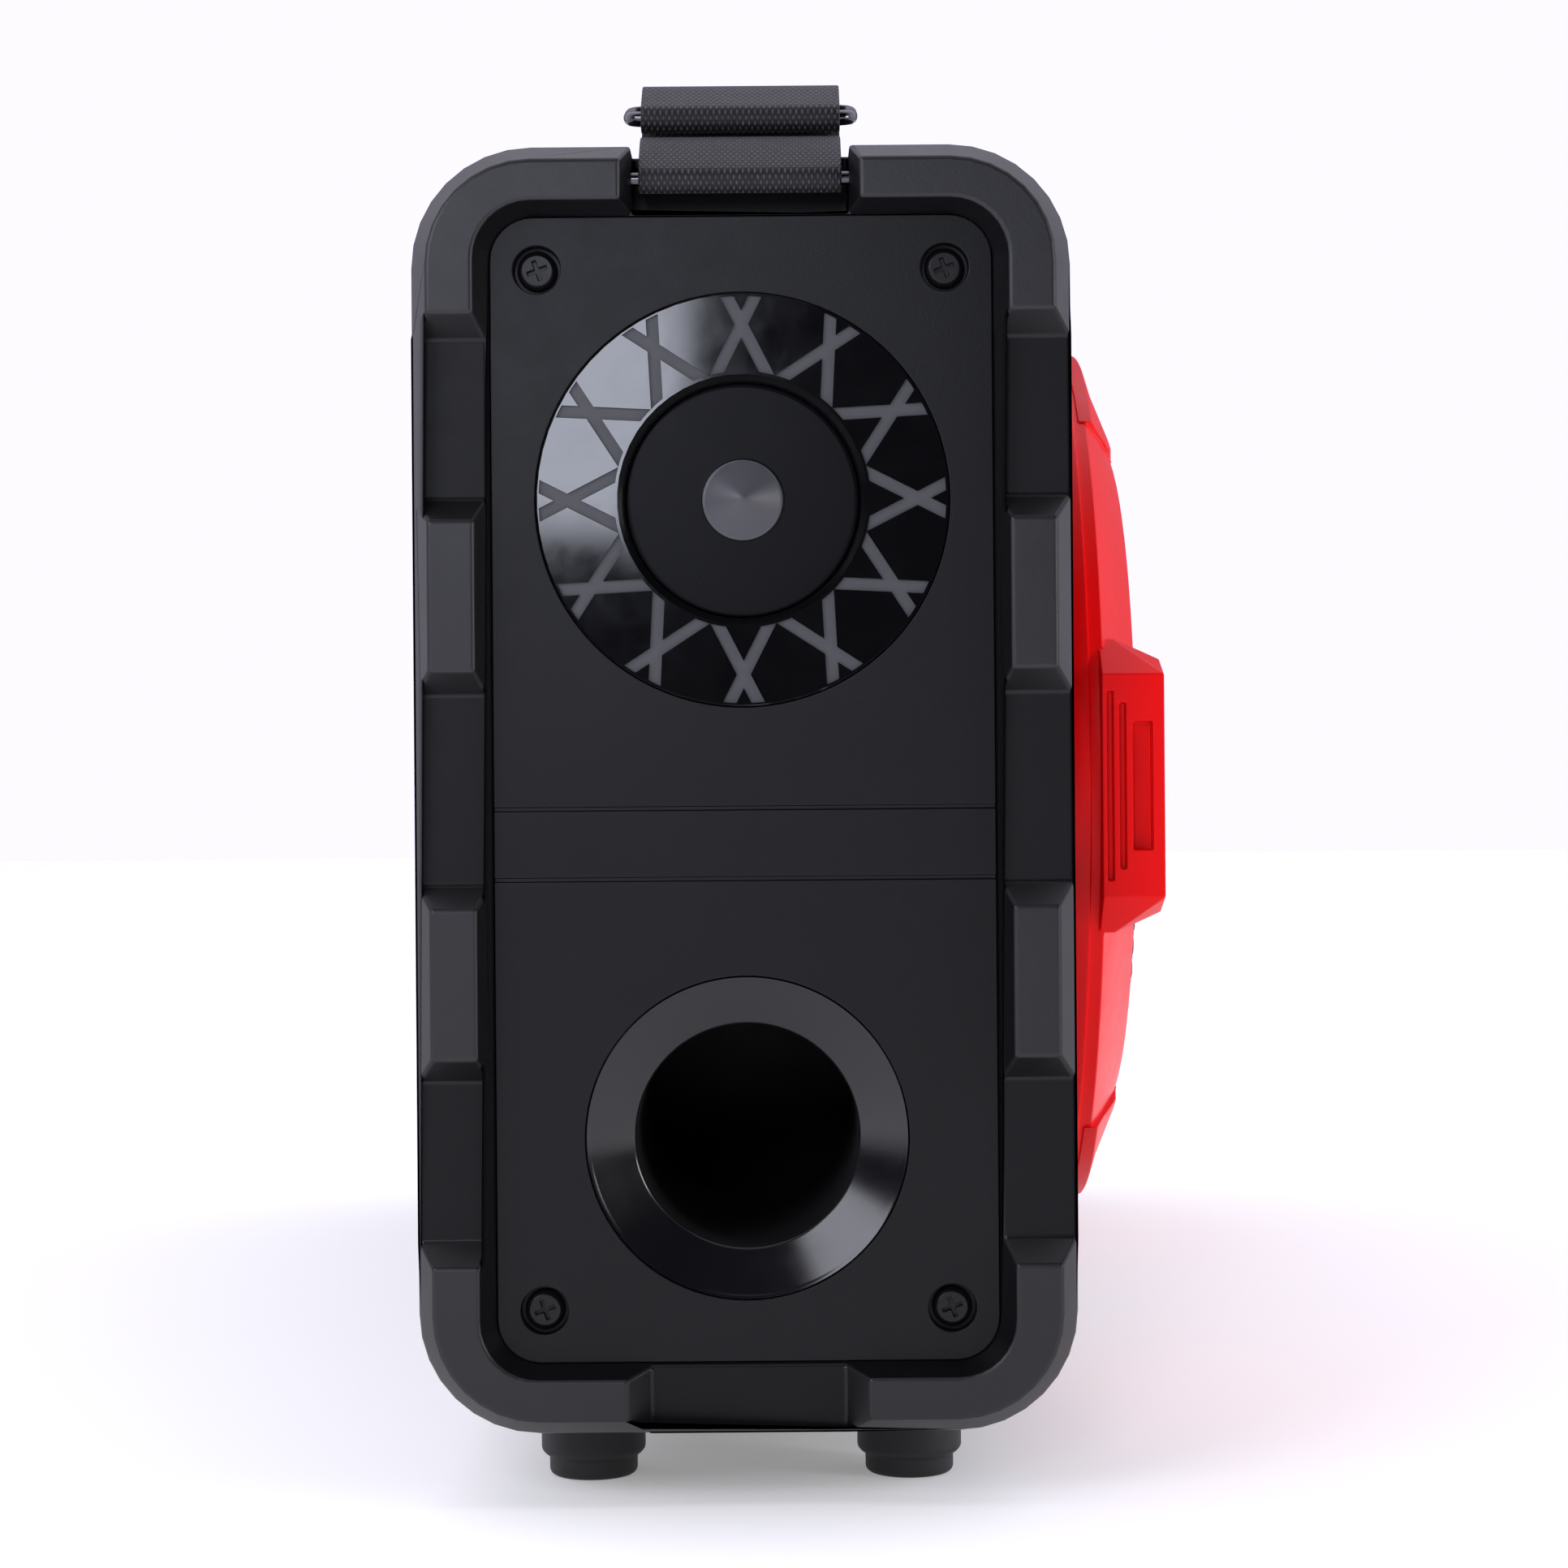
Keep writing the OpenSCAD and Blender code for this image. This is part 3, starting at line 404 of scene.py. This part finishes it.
webbing = wovenNylon()
for name in ("strap_loop_left", "strap_loop_right", "strap_end_left", "strap_end_right", "strap_web"):
    nodes[name].data.materials[0] = webbing
print("materials made")


# where the ends are

capLow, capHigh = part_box("end_cap_left")
halfLength = -capLow[0]
midY, midZ = (capLow[1] + capHigh[1]) / 2, (capLow[2] + capHigh[2]) / 2


def onEnd(side, v, w, u=0.0):
    # v up from the middle of the end, w out of it, u across it, all in metres
    return Vector((side * (halfLength + w), midY + u, midZ + v))


def spinProfile(bm, profile, centre, axis, steps=96, closed=False):
    # profile is (radius, out) in millimetres from the centre
    side = axis.orthogonal().normalized()
    verts = [bm.verts.new(centre + axis * out * mm + side * radius * mm) for radius, out in profile]
    edges = [bm.edges.new(pair) for pair in zip(verts, verts[1:])]
    if closed:
        edges.append(bm.edges.new((verts[-1], verts[0])))
    bmesh.ops.spin(bm, geom=verts + edges, cent=centre, axis=axis, dvec=(0, 0, 0), angle=math.tau,
                   steps=steps, use_merge=True, use_duplicate=False)
    bmesh.ops.remove_doubles(bm, verts=bm.verts, dist=1e-6)
    bmesh.ops.recalc_face_normals(bm, faces=bm.faces)


sides = {"left": -1, "right": 1}

# bumper frames, panels and shells

roundedNodes = {   # CAD node: (edge radius in mm, segments); 0 leaves the CAD's own edges
    "end_panel_left": (0.35, 2), "end_panel_right": (0.35, 2),
    "front_shell": (0.6, 2), "rear_shell": (0.6, 2), "feet": (0.6, 2), "console": (0.7, 3),
    "woofer_ring_left": (0.45, 2), "woofer_ring_right": (0.45, 2), "volume_knob": (0.5, 2),
    "rear_plate": (0, 0), "mains_inlet": (0.35, 2), "switch_frame": (0.35, 2), "power_rocker": (0.4, 2),
    "button_back": (0.6, 3), "button_play": (0.6, 3), "button_next": (0.6, 3), "button_mode": (0.6, 3),
    "button_light": (0.6, 3), "display_window": (0.3, 2), "cap_screws": (0.15, 2), "case_screws": (0.15, 2),
}
bodies = frame["record"]["behaviour"]["bodies"]
bodyOf = {name: body for body, members in bodies.items() for name in members}
for name, (radius, segments) in roundedNodes.items():
    bm = cadCopy(name, radius > 0)
    if radius:
        softenEdges(bm, radius * mm, segments)
    material = nodes[name].data.materials[0]
    piece = newPiece(name + "_moulded", bm, material, bodyOf[name], [name])
    weightNormals(piece)

bumper = {"edge": 0.9 * mm, "segments": 3, "padHeight": 0.4 * mm}
for side in sides:
    bm = cadCopy("end_cap_" + side)
    softenEdges(bm, bumper["edge"], bumper["segments"])
    for face in bm.faces:
        # the pads' tops take the paler copy: partly rubbed, partly painted light
        if abs(face.calc_center_median().x) > halfLength - bumper["padHeight"]:
            face.material_index = 1   # the pads' tops
        # the flats take the darker copy: painted shade for their recess
        elif abs(face.normal.x) > 0.95:
            face.material_index = 2   # the flats between them
    piece = newPiece("bumper_" + side, bm, [bumperPlastic, padGrainRubbedAndLit, shadedFlatGrain], "cabinet",
                     ["end_cap_" + side])
    weightNormals(piece)
print("bumpers and shells made")

# side radiators

radiator = {"height": 72, "sink": 8, "coneRim": 10, "coneDepth": 9.4}
bm = cadCopy("radiator_rings", False)
grooveFloor = halfLength - radiator["sink"] * mm
for face in bm.faces:
    centre = face.calc_center_median()
    if abs(abs(centre.x) - grooveFloor) < 0.05 * mm and abs(face.normal.x) > 0.9:
        face.material_index = 1
newPiece("radiator_trim", bm, [pianoAbs, etchedAbs], "cabinet", ["radiator_rings"])

plateProfile = [(0, 4.1), (0.7, 4.0), (1.6, 3.6), (3.2, 2.75), (5.2, 1.55), (7.4, 0.15), (9.2, -1.0),
                (9.6, -1.3), (10.0, -1.35), (10.1, -1.6), (10.4, -1.7), (10.7, -1.7), (27.9, -1.7),
                (28.2, -1.7), (28.9, -1.95), (29.1, -2.4), (29.1, -3.5), (24, -3.6), (24, -9), (0, -9)]
for name, side in sides.items():
    bm = bmesh.new()
    centre = onEnd(side, radiator["height"] * mm, -radiator["sink"] * mm)
    spinProfile(bm, plateProfile, centre, Vector((side, 0, 0)))
    # the cone takes the greyer satin, its grey partly painted sheen
    for face in bm.faces:
        offset = face.calc_center_median() - onEnd(side, radiator["height"] * mm, 0)
        onCone = math.hypot(offset.y, offset.z) < radiator["coneRim"] * mm
        if onCone and abs(offset.x) < radiator["coneDepth"] * mm:
            face.material_index = 1
    newPiece("radiator_cone_" + name, bm, [satinBlack, coneGreyAndSheen], "radiator_" + name,
             ["radiator_plate_" + name], 50)

# bass ports

port = {"height": -87, "sink": 8}
flareProfile = [(28, -7), (28.05, -6.9), (28.5, -6.45), (28.8, -6.283), (38.9, -0.667), (39.2, -0.5),
                (39.7, -0.12), (40.0, 0), (40.2, -0.25), (40.2, -5.2), (44, -5.3), (44, -7),
                (34, -7.1), (34, -14), (31.1, -14), (31.1, -7.1)]
tubeProfile = [(28, -7.1), (31, -7.1), (31, -102), (28, -102), (28, -60)]
bm, tubeBm = bmesh.new(), bmesh.new()
for side in sides.values():
    centre = onEnd(side, port["height"] * mm, -port["sink"] * mm)
    spinProfile(bm, flareProfile, centre, Vector((side, 0, 0)), 128, True)
    spinProfile(tubeBm, tubeProfile, centre, Vector((side, 0, 0)), 96, True)
newPiece("port_trim", bm, flareAbs, "cabinet", ["port_flares"], 50)
newPiece("port_pipes", tubeBm, innerPlastic, "cabinet", ["port_tubes"])
print("radiators and ports made")

# carry strap

# millimetres; places are (out of the end, up from its middle), and the pin has its radius as well
strap = {"width": 50.6, "thickness": 1.5, "edge": 0.35, "pin": (-10, 152.2, 1.75),
         "near": (-27.6, 170.9), "far": (-41.5, 175.1), "top": (-39.5, 181.6),
         "bar": 2.0, "ringHalf": 30, "corner": 4.0, "slope": 0.1667,
         "over": (40.5, 36, 31, 26, 21, 16, 11, 6, 2),
         "under": (1, 6, 11, 16, 21, 26, 31, 36, 40.5)}


def smoothPath(points, closed=False):
    # corner cutting: swaps each corner for two softer ones
    ring = points + points[:1] if closed else points
    cut = [p for a, b in zip(ring, ring[1:]) for p in (a.lerp(b, 0.25), a.lerp(b, 0.75))]
    return cut if closed else [points[0]] + cut[1:-1] + [points[-1]]


def webbingPiece(name, path, closed=False, across=12):
    # path is the middle of the webbing, in X and Z; UVs are metres across and along
    bm = bmesh.new()
    uv = bm.loops.layers.uv.new("UVMap")
    width = strap["width"] * mm
    along, total = {}, 0.0
    verts = []
    for index, point in enumerate(path):
        total += (point - path[index - 1]).length if index else 0.0
        verts.append(bm.verts.new((point.x, midY - width / 2, point.z)))
        along[(round(point.x, 6), round(point.z, 6))] = total
    edges = [bm.edges.new(pair) for pair in zip(verts, verts[1:])]
    if closed:
        edges.append(bm.edges.new((verts[-1], verts[0])))
    for _ in range(across):
        made = bmesh.ops.extrude_edge_only(bm, edges=edges)["geom"]
        moved = [g for g in made if isinstance(g, bmesh.types.BMVert)]
        edges = [g for g in made if isinstance(g, bmesh.types.BMEdge)]
        bmesh.ops.translate(bm, verts=moved, vec=(0, width / across, 0))
    for face in bm.faces:
        lengths = [along[(round(l.vert.co.x, 6), round(l.vert.co.z, 6))] for l in face.loops]
        wraps = max(lengths) - min(lengths) > total / 2
        for loop, length in zip(face.loops, lengths):
            extra = total + (path[0] - path[-1]).length if wraps and length < total / 2 else 0.0
            loop[uv].uv = (loop.vert.co.y - midY, length + extra)
    mesh = bpy.data.meshes.new(name)
    bm.to_mesh(mesh)
    bm.free()
    for polygon in mesh.polygons:
        polygon.use_smooth = True
    mesh.materials.append(webbing)
    piece = bpy.data.objects.new(name, mesh)
    scene.collection.objects.link(piece)
    solid = piece.modifiers.new("thickness", "SOLIDIFY")
    solid.thickness = strap["thickness"] * mm
    solid.offset = 0
    edge = piece.modifiers.new("edge", "BEVEL")
    edge.width = strap["edge"] * mm
    edge.segments = 2
    edge.limit_method = "ANGLE"
    edge.angle_limit = math.radians(50)
    return piece


def onSide(side, w, v):
    # w out of the end and v up from its middle, in millimetres
    return Vector((side * (halfLength + w * mm), 0, midZ + v * mm))


def tailPoint(back, drop):
    # on the strap's end: so far back along its slope, and so far under its top face
    topW, topV = strap["top"]
    return topW - back, topV + back * strap["slope"] - drop


for name, side in sides.items():
    # sewn loop, both layers together: round the anchor pin, under the ring's near bar, up round the far bar
    pinW, pinV, pinR = strap["pin"]
    nearW, nearV = strap["near"]
    farW, farV = strap["far"]
    half = strap["thickness"] / 2
    pinTurn, barTurn = pinR + 0.3 + half, strap["bar"] + 0.2 + half
    loopPath = [(pinW + pinTurn * math.cos(math.radians(a)), pinV + pinTurn * math.sin(math.radians(a)))
                for a in range(55, -150, -24)]
    loopPath += [(-17.5, 157.6), (-21.8, 162.2), (-26.5, 163.4), (-31.2, 164.4), (-34.2, 167.0)]
    loopPath += [(farW + barTurn * math.cos(math.radians(a)), farV + barTurn * math.sin(math.radians(a)))
                 for a in range(-120, -340, -24)]
    loopPath += [(-33.4, 169.2), (-30.6, 166.0), (-26.2, 164.9), (-20.6, 164.2), (-15.0, 160.4)]
    path = smoothPath([onSide(side, w, v) for w, v in loopPath], True)
    piece = webbingPiece("anchor_loop_" + name, path, True)
    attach(piece, "strap_anchor_" + name)
    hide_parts("strap_loop_" + name)

    # strap end: over the far bar, down round the near bar and back under itself, sewn
    topW, topV = strap["top"]
    tailPath = [tailPoint(back, half) for back in strap["over"]]
    tailPath += [(topW + 1.6, topV - half - 0.1), (-35.5, 179.7), (-31.5, 177.0)]
    tailPath += [(nearW + barTurn * math.cos(math.radians(a)), nearV + barTurn * math.sin(math.radians(a)))
                 for a in range(64, -190, -21)]
    tailPath += [(-31.0, 173.6), (-34.0, 176.4), (-37.2, 178.4)]
    tailPath += [tailPoint(back, 3 * half) for back in strap["under"]]
    path = smoothPath([onSide(side, w, v) for w, v in tailPath])
    piece = webbingPiece("strap_tail_" + name, path)
    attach(piece, "strap_anchor_" + name)
    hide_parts("strap_end_" + name)

    # chromed wire ring through both
    curve = bpy.data.curves.new("ringWire", "CURVE")
    curve.dimensions = "3D"
    curve.bevel_depth = strap["bar"] * mm
    curve.bevel_resolution = 5
    ring = strap["ringHalf"] - strap["bar"]
    corners = []
    nearPoint, farPoint = Vector((nearW, nearV)), Vector((farW, farV))
    reach = (farPoint - nearPoint).length
    for u, r, start in ((ring, reach, 90), (ring, 0, 0), (-ring, 0, -90), (-ring, reach, -180)):
        middleU = u - math.copysign(strap["corner"], u)
        middleR = r - (strap["corner"] if r > 0 else -strap["corner"])
        for step in range(7):
            angle = math.radians(start - 15 * step)
            corners.append((middleU + strap["corner"] * math.cos(angle),
                            middleR + strap["corner"] * math.sin(angle)))
    spline = curve.splines.new("POLY")
    spline.use_cyclic_u = True
    spline.points.add(len(corners) - 1)
    for point, (u, r) in zip(spline.points, corners):
        w, v = nearPoint.lerp(farPoint, r / reach)
        place = onEnd(side, v * mm, w * mm, u * mm)
        point.co = (*place, 1)
    wire = bpy.data.objects.new("ringWire", curve)
    scene.collection.objects.link(wire)
    mesh = bpy.data.meshes.new_from_object(wire.evaluated_get(bpy.context.evaluated_depsgraph_get()))
    bpy.data.objects.remove(wire)
    mesh.name = "strap_wire_" + name
    for polygon in mesh.polygons:
        polygon.use_smooth = True
    mesh.materials.clear()
    # the ring wire takes the chrome darkened as painted shade
    mesh.materials.append(shadedChrome)
    piece = bpy.data.objects.new("strap_wire_" + name, mesh)
    scene.collection.objects.link(piece)
    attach(piece, "strap_anchor_" + name)
    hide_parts("strap_ring_" + name)

# the webbing between the ends, in two halves that meet in the middle
# pivot: how far out the bending starts, in half lengths, so that the outer ends rise too; run-on in mm
web = {"steps": 28, "runOn": (3, 7.5, 12), "runOnDrop": 0.75, "pivot": 1.602}
webLow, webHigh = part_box("strap_web")
webHalf, webTop = webHigh[0], webHigh[2]
webMiddle = webTop - strap["thickness"] * mm / 2
webRise = webTop - webLow[2] - strap["thickness"] * mm
for name, side in sides.items():
    path = []
    for step in range(web["steps"] + 1):
        share = step / web["steps"]
        path.append(Vector((side * webHalf * step / web["steps"], 0, webMiddle - webRise * share ** 2)))
    # it runs on between the two layers of the strap's end, so that no gap opens there when it is lifted
    path += [path[-1] + Vector((side * back, 0, -strap["slope"] * back - web["runOnDrop"])) * mm
             for back in web["runOn"]]
    piece = webbingPiece("strap_half_" + name, path)
    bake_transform(piece)
    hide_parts("strap_web")
print("strap made")

# grilles

grille = {"pitch": 4.4 * mm, "bar": 0.62 * mm, "thickness": 0.8 * mm, "open": 86.6 * mm, "edge": 91 * mm,
          "apex": 23.5 * mm, "drop": 2.5 * mm, "woofer": 168 * mm, "height": 3 * mm}
frontY = capLow[1]
forward = Vector((0, -1, 0))
rimProfile = [(85.8, 21.5), (88.5, 21.3), (90.7, 21.1), (91.2, 20.7), (91.2, 12), (88.4, 12),
              (88.4, 19.9), (85.8, 20.7)]
for name, side in sides.items():
    centre = Vector((side * grille["woofer"], frontY, midZ + grille["height"]))
    bm = bmesh.new()
    bmesh.ops.create_circle(bm, cap_ends=True, radius=grille["pitch"] / math.sqrt(3), segments=6)
    cell = list(bm.verts) + list(bm.edges) + list(bm.faces)   # one six-sided hole, copied all over
    rowStep, colStep = grille["pitch"], grille["pitch"] * math.sqrt(3) / 2
    reach = int(grille["open"] / colStep) + 1
    for i in range(-reach, reach + 1):
        for j in range(-reach, reach + 1):
            x, z = i * colStep, (j + 0.5 * (i % 2)) * rowStep
            if (i or j) and math.hypot(x, z) < grille["open"]:
                copied = bmesh.ops.duplicate(bm, geom=cell)["geom"]
                moved = [g for g in copied if isinstance(g, bmesh.types.BMVert)]
                bmesh.ops.translate(bm, verts=moved, vec=(x, z, 0))
    bmesh.ops.remove_doubles(bm, verts=bm.verts, dist=0.02 * mm)
    holes = list(bm.faces)
    bmesh.ops.inset_individual(bm, faces=holes, thickness=grille["bar"], depth=0)
    bmesh.ops.delete(bm, geom=holes, context="FACES")
    for vert in bm.verts:
        share = min(1.0, vert.co.length / grille["edge"])
        dome = grille["apex"] - grille["drop"] * share ** 2
        vert.co = centre + Vector((vert.co.x, 0, vert.co.y)) + forward * dome
    bmesh.ops.recalc_face_normals(bm, faces=bm.faces)
    bmesh.ops.solidify(bm, geom=list(bm.faces), thickness=grille["thickness"])
    spinProfile(bm, rimProfile, centre, forward, 128, True)
    newPiece("perforated_grille_" + name, bm, powderCoat, "cabinet", ["grilles"])
print("grilles made")
